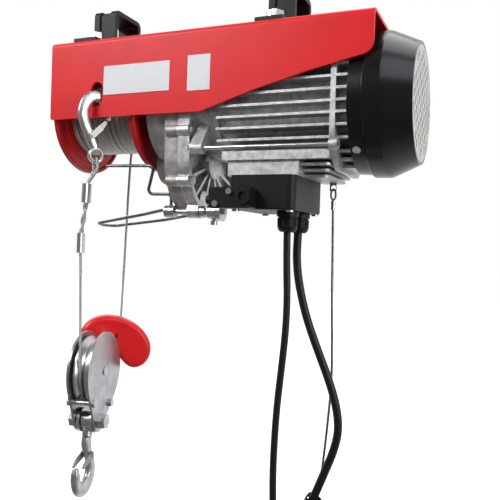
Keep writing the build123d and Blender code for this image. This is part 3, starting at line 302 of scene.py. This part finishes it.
def tube(name, line, radius, material, sides=12, strands=False, closed=False):
    """Tube along a line, with a UV map of length and turn. With strands, its section has lobes that twist."""
    count = len(line)
    vertices, faces, uvs = [], [], []
    length, lengths = 0.0, []
    for i in range(count):
        lengths.append(length)
        length += (line[(i + 1) % count] - line[i]).length
    normal = None
    for i in range(count):
        before = line[i - 1] if i or closed else line[0]
        after = line[(i + 1) % count] if i < count - 1 or closed else line[-1]
        ahead = (after - before).normalized()
        if normal is None:
            normal = ahead.orthogonal().normalized()
        normal = (normal - ahead * normal.dot(ahead)).normalized()
        across = ahead.cross(normal)
        for k in range(sides):
            angle = 2 * math.pi * k / sides
            lobe = 1.0
            if strands:
                twist = angle - 2 * math.pi * lengths[i] / LAY
                lobe = 0.84 + 0.16 * abs(math.cos(STRAND_COUNT / 2 * twist))
            vertices.append(line[i] + (normal * math.cos(angle) + across * math.sin(angle)) * radius * lobe)
    for i in range(count if closed else count - 1):
        low, high = lengths[i] * MM, (lengths[i] + (line[(i + 1) % count] - line[i]).length) * MM
        for k in range(sides):
            j, nxt = (k + 1) % sides, (i + 1) % count
            faces.append((i * sides + k, i * sides + j, nxt * sides + j, nxt * sides + k))
            uvs += [(low, k / sides), (low, (k + 1) / sides), (high, (k + 1) / sides), (high, k / sides)]
    if not closed:
        for end, order in ((0, -1), (count - 1, 1)):
            faces.append(tuple(end * sides + k for k in range(sides))[::order])
            uvs += [(0, 0)] * sides
    return add_mesh(name, vertices, faces, material, uvs)


def forged_bar(name, place, outline, half_thick, material, sides=20):
    """Forging along (x, y, radius) stations in a plane. Radius is the half width."""
    stations = smooth_line([Vector(s) for s in outline], 1.5)
    vertices, faces = [], []
    for i, (x, y, r) in enumerate(stations):
        before, after = stations[max(i - 1, 0)], stations[min(i + 1, len(stations) - 1)]
        ahead = Vector((after[0] - before[0], after[1] - before[1])).normalized()
        depth = min(half_thick, r * 1.05)
        for k in range(sides):
            angle = 2 * math.pi * k / sides
            wide = math.copysign(abs(math.cos(angle)) ** 0.8, math.cos(angle)) * r
            deep = math.copysign(abs(math.sin(angle)) ** 0.8, math.sin(angle)) * depth
            vertices.append(place @ Vector((x - ahead.y * wide, y + ahead.x * wide, deep)))
    last = len(stations) - 1
    for i in range(last):
        for k in range(sides):
            j = (k + 1) % sides
            faces.append((i * sides + k, i * sides + j, (i + 1) * sides + j, (i + 1) * sides + k))
    for end, sign in ((0, -1), (last, 1)):
        x, y, r = stations[end]
        other = stations[1 if end == 0 else last - 1]
        out = Vector((x - other[0], y - other[1])).normalized() * r * 0.6
        vertices.append(place @ Vector((x + out.x, y + out.y, 0)))
        tip = len(vertices) - 1
        for k in range(sides):
            pair = (end * sides + k, end * sides + (k + 1) % sides)
            faces.append((*pair[::-1 if sign < 0 else 1], tip)[:3])
    return add_mesh(name, vertices, faces, material)


def ring(name, place, radius, half_wide, half_deep, material):
    """Flattened ring in the plane of place, with soft sides."""
    line_count, sides = 56, 14
    vertices, faces = [], []
    for i in range(line_count):
        turn = 2 * math.pi * i / line_count
        for k in range(sides):
            angle = 2 * math.pi * k / sides
            reach = radius + half_wide * math.cos(angle)
            height = half_deep * math.sin(angle)
            vertices.append(place @ Vector((reach * math.cos(turn), reach * math.sin(turn), height)))
    for i in range(line_count):
        for k in range(sides):
            j, nxt = (k + 1) % sides, (i + 1) % line_count
            faces.append((i * sides + k, nxt * sides + k, nxt * sides + j, i * sides + j))
    return add_mesh(name, vertices, faces, material)


def join(name, pieces):
    """One object from several."""
    bpy.ops.object.select_all(action="DESELECT")
    for piece in pieces:
        piece.select_set(True)
    bpy.context.view_layer.objects.active = pieces[0]
    bpy.ops.object.join()
    pieces[0].name = name
    return pieces[0]


def turned(name, profile, centre, material, ridges=0, depth=0.0, ridge_span=(0, 0), segments=96):
    """Solid of revolution about a vertical line from (radius, z) points. Ridges stand between two heights."""
    vertices, faces = [], []
    for radius, z in profile:
        for k in range(segments):
            angle = 2 * math.pi * k / segments
            ribbed = ridges and ridge_span[0] <= z <= ridge_span[1]
            reach = radius - (depth if ribbed and (k * ridges * 2 // segments) % 2 else 0)
            vertices.append((centre[0] + reach * math.cos(angle), centre[1] + reach * math.sin(angle), z))
    for i in range(len(profile) - 1):
        for k in range(segments):
            j = (k + 1) % segments
            faces.append((i * segments + k, i * segments + j, (i + 1) * segments + j, (i + 1) * segments + k))
    return add_mesh(name, vertices, faces, material)


def placement(origin, x_axis, z_axis):
    """Matrix of a plane with its origin, its X axis and its normal."""
    y_axis = z_axis.cross(x_axis)
    turn = Matrix((x_axis, y_axis, z_axis)).transposed().to_4x4()
    return Matrix.Translation(origin) @ turn


# ---- Ropes -----------------------------------------------------------------------------------------
ACROSS = Vector((math.cos(BLOCK_YAW), -math.sin(BLOCK_YAW), 0))
LEVEL = Vector((math.sin(BLOCK_YAW), math.cos(BLOCK_YAW), 0))
ALONG = LEVEL * math.cos(BLOCK_TILT) - Vector((0, 0, 1)) * math.sin(BLOCK_TILT)
BLOCK_UP = ACROSS.cross(ALONG)
HOOK_PIN = BLOCK_C - BLOCK_UP * HOOK_DROP


def sheave_point(angle):
    """Point of the rope's line round the sheave, from level at the back."""
    return BLOCK_C + (LEVEL * math.cos(angle) + Vector((0, 0, 1)) * math.sin(angle)) * SHEAVE_R


def straight(start, end, step=1.2):
    """Straight line from start to end, in steps of about step."""
    count = max(2, round((end - start).length / step))
    return [start.lerp(end, i / count) for i in range(count + 1)]


def ease(t):
    """Smooth step from 0 to 1."""
    t = min(max(t, 0.0), 1.0)
    return t * t * (3 - 2 * t)


def leaning(start, end, count=200):
    """Line that leans in a little below its start, where the limit lever's loop stands beside it."""
    line = []
    for i in range(count + 1):
        t = i / count
        lean = FALL_LEAN * ease(t / LEAN_FULL) * ease((1 - t) / (1 - LEAN_FULL))
        line.append(start.lerp(end, t) - Vector((0, lean, 0)))
    return line


def make_falls():
    """The two rope falls, and the rope round the sheave, which goes with the block."""
    rear = sheave_point(REAR_TANGENT)
    run = leaning(DRUM_TANGENT, WEIGHT_ENTRY) + straight(WEIGHT_ENTRY, rear)[1:]
    drum_side = tube("drum_side_strands", run, ROPE_D / 2, ROPE, 24, strands=True)
    front = sheave_point(math.pi)
    dead_end = tube("dead_end_strands", straight(FERRULE_LOW, front), ROPE_D / 2, ROPE, 24, strands=True)
    falls = ((drum_side, "drum_side_rope", DRUM_TANGENT, WEIGHT_ENTRY),
             (dead_end, "dead_end_rope", FERRULE_LOW, front))
    for piece, node, top, bottom in falls:
        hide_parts(node)
        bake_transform(piece)
    start, end = math.pi, 2 * math.pi + REAR_TANGENT
    arc = [sheave_point(start + (end - start) * i / 90) for i in range(91)]
    under = tube("sheave_strands", arc, ROPE_D / 2, ROPE, 24, strands=True)
    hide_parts("sheave_rope")
    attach(under, "block")


def make_wound_rope():
    """The turns on the drum. Each leans and sinks a little, and a gap follows every second one, dark with
    painted shade.
    """
    low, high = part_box("wound_rope")
    left, right = low[0] / MM, high[0] / MM
    turns = []
    x = left + ROPE_D / 2
    while x < right - ROPE_D / 2:
        count = len(turns)
        lean = 0.2 * math.sin(2.1 * count)
        sink = 0.15 + 0.35 * (1 + math.sin(3.7 * count))
        radius = FALL_R - ROPE_D - sink
        line = []
        for k in range(TURN_STEPS):
            angle = 2 * math.pi * k / TURN_STEPS
            along = x + lean * math.sin(angle)
            line.append(Vector((along, radius * math.cos(angle), AXIS_Z + radius * math.sin(angle))))
        turns.append(tube(f"turn_{count}", line, ROPE_D / 2, ROPE, 8, closed=True))
        x += TURN_PITCH + (TURN_GAP if len(turns) % GAP_EVERY == 0 else 0)
    turns.append(shaded_under_layer(left, right))
    rope = join("wound_turns", turns)
    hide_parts("wound_rope")
    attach(rope, "drum")


def shaded_under_layer(left, right):
    """The layer below, as a barrel in the dark wire colour that shows only in the gaps: that darkness is
    painted shade.
    """
    vertices, faces, sides = [], [], 64
    for x in (left + 0.2, right - 0.2):
        for k in range(sides):
            angle = 2 * math.pi * k / sides
            vertices.append((x, UNDER_R * math.cos(angle), AXIS_Z + UNDER_R * math.sin(angle)))
    for k in range(sides):
        j = (k + 1) % sides
        faces.append((k, j, sides + j, sides + k))
    # The dark wire colour here is painted shade on the rope below.
    return add_mesh("shaded_under_layer", vertices, faces, DARK_WIRE)


def make_rope_end():
    """The rope's eye round the hook, and the two strands twisted together below it."""
    side = Vector((math.sin(ROPE_HOOK_TURN), -math.cos(ROPE_HOOK_TURN), 0)) * LOOP_HALF
    # Each corner of the eye: how far to the side, and its height from the hook's eye.
    eye = [(-1, -16), (-1, -7), (-0.5, -3.2), (0.5, -3.2), (1, -7), (0.9, -16)]
    corners = [ROPE_EYE + side * across + Vector((0, 0, height)) for across, height in eye]
    corners = [LOOP_TOP - side * 0.36] + corners + [LOOP_TOP + side * 0.36]
    pieces = [tube("eye_loop", smooth_line(corners, 1.0), ROPE_D / 2, ROPE, 20, strands=True)]
    steps = 40
    for phase in (0.0, math.pi):
        line = []
        for i in range(steps + 1):
            t = i / steps
            angle = phase + 2.2 * math.pi * t
            offset = Vector((0.5 * math.sin(angle), math.cos(angle), 0)) * 1.7
            line.append(PAIR_TOP.lerp(PAIR_FOOT, t) + offset)
        pieces.append(tube("twisted_pair", line, ROPE_D / 2, ROPE, 20, strands=True))
    loop = join("rope_end_strands", pieces)
    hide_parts("rope_end_loop")
    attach(loop, "hoist_frame")


# ---- Hooks -----------------------------------------------------------------------------------------
def make_rope_end_hook():
    """The hook in the bracket's keyhole, as a forged bar with an eye, and its latch's rivet."""
    z_axis = Vector((math.sin(ROPE_HOOK_TURN), -math.cos(ROPE_HOOK_TURN), 0))
    place = placement(ROPE_EYE, Vector((-z_axis.y, z_axis.x, 0)), z_axis)
    outline = [(-1.2, 7.2, 4.2), (-3, 12, 5.3), (-8, 24, 5.5), (-13, 35, 5.9), (-14.2, 46, 6.1),
               (-9.5, 57.6, 6.1), (0, 62.2, 5.9), (9.2, 57.6, 5.3), (13, 48, 4.3), (13, 39.5, 3.0)]
    bar = forged_bar("rope_hook_bar", place, outline, 3.5, FORGED)
    eye = ring("rope_hook_eye", place, 6.6, 2.0, 3.4, FORGED)
    hook = join("rope_hook_forging", [bar, eye])
    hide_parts("rope_end_hook")
    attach(hook, "hoist_frame")
    rivet = riveted("rope_latch_rivet", place, (-5.4, 20), 2.0, 6.0)
    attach(rivet, "hoist_frame")


def riveted(name, place, centre, radius, reach):
    """A rivet: a pin with a domed head at each end."""
    vertices, faces, sides = [], [], 24
    head = [(0, reach + 0.8), (radius * 0.8, reach + 0.5), (radius, reach), (radius * 0.6, reach - 0.3)]
    profile = [(r, -z) for r, z in head] + head[::-1]
    for r, z in profile:
        for k in range(sides):
            angle = 2 * math.pi * k / sides
            x, y = centre[0] + r * math.cos(angle), centre[1] + r * math.sin(angle)
            vertices.append(place @ Vector((x, y, z)))
    for i in range(len(profile) - 1):
        for k in range(sides):
            j = (k + 1) % sides
            faces.append((i * sides + k, i * sides + j, (i + 1) * sides + j, (i + 1) * sides + k))
    return add_mesh(name, vertices, faces, ZINC)


def make_load_hook():
    """The load hook below its swivel, and its latch's rivet."""
    x_axis = ALONG * math.cos(HOOK_SWIVEL) + ACROSS * math.sin(HOOK_SWIVEL)
    z_axis = ACROSS * math.cos(HOOK_SWIVEL) - ALONG * math.sin(HOOK_SWIVEL)
    place = placement(HOOK_PIN, x_axis, z_axis)
    outline = [(0, -18.2, 6.6), (0.4, -25, 6.4), (4.5, -33, 5.4), (12.5, -42, 5.6), (17, -53, 6.6),
               (15.5, -64, 7.6), (7.5, -72, 8.0), (-3.5, -73, 7.5), (-12, -67, 6.2), (-16.5, -57.5, 4.6),
               (-17.2, -50.5, 3.0)]
    hook = forged_bar("load_hook_forging", place, outline, 4.6, FORGED)
    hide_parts("load_hook")
    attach(hook, "swivel_hook")
    rivet = riveted("load_latch_rivet", place, (6.5, -37.5), 2.3, 7.2)
    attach(rivet, "swivel_hook")


# ---- Cords -----------------------------------------------------------------------------------------
def coil_points(coil, start_angle, sense):
    """Control points of a coil whose turns lie side by side along Y. The spline runs a little inside them."""
    x, y, z, radius, turns, step = coil
    reach = radius / SPLINE_INSIDE
    points = []
    for i in range(turns * COIL_STEPS + 1):
        angle = start_angle + sense * 2 * math.pi * i / COIL_STEPS
        points.append((x + reach * math.cos(angle), y + step * i / COIL_STEPS, z + reach * math.sin(angle)))
    return points


def cord_curve(name, points, diameter, material):
    """Round cord on a smooth spline with these control points, in millimetres."""
    curve = bpy.data.curves.new(name, "CURVE")
    curve.dimensions = "3D"
    curve.bevel_depth = diameter * MM / 2
    curve.bevel_resolution = 5
    curve.use_fill_caps = True
    spline = curve.splines.new("NURBS")
    spline.points.add(len(points) - 1)
    for point, place in zip(spline.points, points):
        point.co = (*[c * MM for c in place], 1)
    spline.order_u = 3
    spline.use_endpoint_u = True
    spline.resolution_u = 8
    curve.materials.append(material)
    piece = bpy.data.objects.new(name, curve)
    bpy.context.collection.objects.link(piece)
    return piece


def make_cords():
    """The mains lead, the control lead with its pendant, and the safety line beside it."""
    mains_path = MAINS_ROUTE + coil_points(MAINS_COIL, 0.0, -1) + MAINS_TAIL
    mains = cord_curve("mains_lead", mains_path, MAINS_D, RUBBER)
    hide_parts("mains_cable", "mains_coil")
    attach(mains, "hoist_frame")
    control_path = CONTROL_ROUTE + coil_points(CONTROL_COIL, math.pi, 1) + CONTROL_TAIL
    control = cord_curve("control_lead", control_path, CONTROL_D, RUBBER)
    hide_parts("control_cable", "control_coil")
    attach(control, "hoist_frame")
    safety = cord_curve("safety_line", SAFETY_ROUTE, SAFETY_D, DARK_WIRE)
    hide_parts("safety_rope")
    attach(safety, "hoist_frame")


def make_glands():
    """Cable glands: a collar, a ribbed dome nut and a lip round each cable."""
    pieces = []
    for x, y, bore in GLANDS:
        lip = bore / 2 + 0.3
        # Radius, and depth below the terminal box.
        shape = [(10.4, 0.1), (10.6, 0.6), (10.6, 5.2), (9.0, 5.6), (9.0, 6.4), (9.9, 7.0), (9.9, 7.1),
                 (9.7, 14.0), (9.6, 15.0), (8.9, 17.6), (7.4, 19.4), (5.8, 20.0), (lip + 0.5, 20.0),
                 (lip, 19.0)]
        profile = [(radius, GLAND_TOP - depth) for radius, depth in shape]
        ribbed = (GLAND_TOP - 14.5, GLAND_TOP - 7.05)
        pieces.append(turned("gland", profile, (x, y), BLACK, 24, 0.6, ribbed, 192))
    glands = join("gland_nuts", pieces)
    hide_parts("cable_glands")
    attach(glands, "hoist_frame")


# ---- Studio ----------------------------------------------------------------------------------------
def add_light(name, place, target, size, power, colour=WHITE):
    """Soft rectangular light that faces its target."""
    light = bpy.data.lights.new(name, "AREA")
    light.shape = "RECTANGLE"
    light.size, light.size_y = size
    light.energy = power
    light.color = colour
    lamp = bpy.data.objects.new(name, light)
    lamp.location = place
    lamp.rotation_euler = (Vector(target) - Vector(place)).to_track_quat("-Z", "Y").to_euler()
    bpy.context.collection.objects.link(lamp)


def floor_surface():
    """White that glows a little, so that it meets the white background without a line."""
    material = surface("white floor", (0.92, 0.92, 0.92), 0.0, 0.7, grain=30, bump=0.02, spread=0.01)
    shader = material.node_tree.nodes["Principled BSDF"]
    shader.inputs["Emission Color"].default_value = (1, 1, 1, 1)
    shader.inputs["Emission Strength"].default_value = 0.75
    return material


def make_studio():
    """The floor, the surroundings and the lights."""
    floor_z = cad_box[0][2] - FLOOR_DROP
    bm = bmesh.new()
    for x, y in ((-1, -1), (1, -1), (1, 1), (-1, 1)):
        bm.verts.new((x * FLOOR_REACH, y * FLOOR_REACH, floor_z))
    bm.faces.new(bm.verts)
    mesh = bpy.data.meshes.new("floor")
    bm.to_mesh(mesh)
    bm.free()
    mesh.materials.append(floor_surface())
    floor = bpy.data.objects.new("floor", mesh)
    bpy.context.collection.objects.link(floor)
    floor.visible_glossy = False
    floor.visible_diffuse = False
    make_world()
    add_light("key", (-0.9, -1.2, 0.8), MIDDLE, (0.7, 0.5), 23)
    add_light("side", (1.4, -0.5, 0.1), MIDDLE, (0.4, 1.0), 11)
    add_light("top", (0.4, 0.3, 1.25), MIDDLE, (1.2, 0.8), 8)
    add_light("band", (0.82, -0.72, 0.86), FAN_CONE, (0.8, 0.75), 5, COOL)


def make_world():
    """White wherever it is seen. As a light, it is full behind the object and dim in front of it."""
    world = bpy.data.worlds.new("studio")
    world.use_nodes = True
    tree = world.node_tree
    place = tree.nodes.new("ShaderNodeTexCoord")
    split = tree.nodes.new("ShaderNodeSeparateXYZ")
    span = tree.nodes.new("ShaderNodeMapRange")
    span.inputs["From Min"].default_value = -0.3
    span.inputs["From Max"].default_value = 0.4
    span.inputs["To Min"].default_value = WORLD_FRONT
    span.inputs["To Max"].default_value = WORLD_BACK
    tree.links.new(place.outputs["Generated"], split.inputs["Vector"])
    tree.links.new(split.outputs["Y"], span.inputs["Value"])
    seen = tree.nodes.new("ShaderNodeLightPath")
    strength = tree.nodes.new("ShaderNodeMath")
    strength.operation = "MAXIMUM"
    tree.links.new(span.outputs["Result"], strength.inputs[0])
    tree.links.new(seen.outputs["Is Camera Ray"], strength.inputs[1])
    tree.links.new(strength.outputs[0], tree.nodes["Background"].inputs["Strength"])
    tree.nodes["Background"].inputs["Color"].default_value = (1, 1, 1, 1)
    bpy.context.scene.world = world


def make_camera():
    """The camera, turned about the vertical, tipped down and rolled a little."""
    level = Vector((-math.sin(CAMERA_AZIMUTH), math.cos(CAMERA_AZIMUTH), 0))
    ahead = level * math.cos(CAMERA_PITCH) + Vector((0, 0, math.sin(CAMERA_PITCH)))
    right = Vector((math.cos(CAMERA_AZIMUTH), math.sin(CAMERA_AZIMUTH), 0))
    up = right.cross(ahead)
    rolled_right = right * math.cos(CAMERA_ROLL) + up * math.sin(CAMERA_ROLL)
    rolled_up = up * math.cos(CAMERA_ROLL) - right * math.sin(CAMERA_ROLL)
    turn = Matrix((rolled_right, rolled_up, -ahead)).transposed().to_4x4()
    data = bpy.data.cameras.new("photo camera")
    data.sensor_width = CAMERA_SENSOR
    data.lens = CAMERA_LENS
    camera = bpy.data.objects.new("photo camera", data)
    camera.matrix_world = Matrix.Translation(CAMERA_PLACE) @ turn
    bpy.context.collection.objects.link(camera)
    bpy.context.scene.camera = camera
    bpy.context.scene.view_settings.view_transform = "Standard"


dress_cad_nodes()
make_falls()
make_wound_rope()
make_rope_end()
make_rope_end_hook()
make_load_hook()
make_cords()
make_glands()
make_camera()
make_studio()
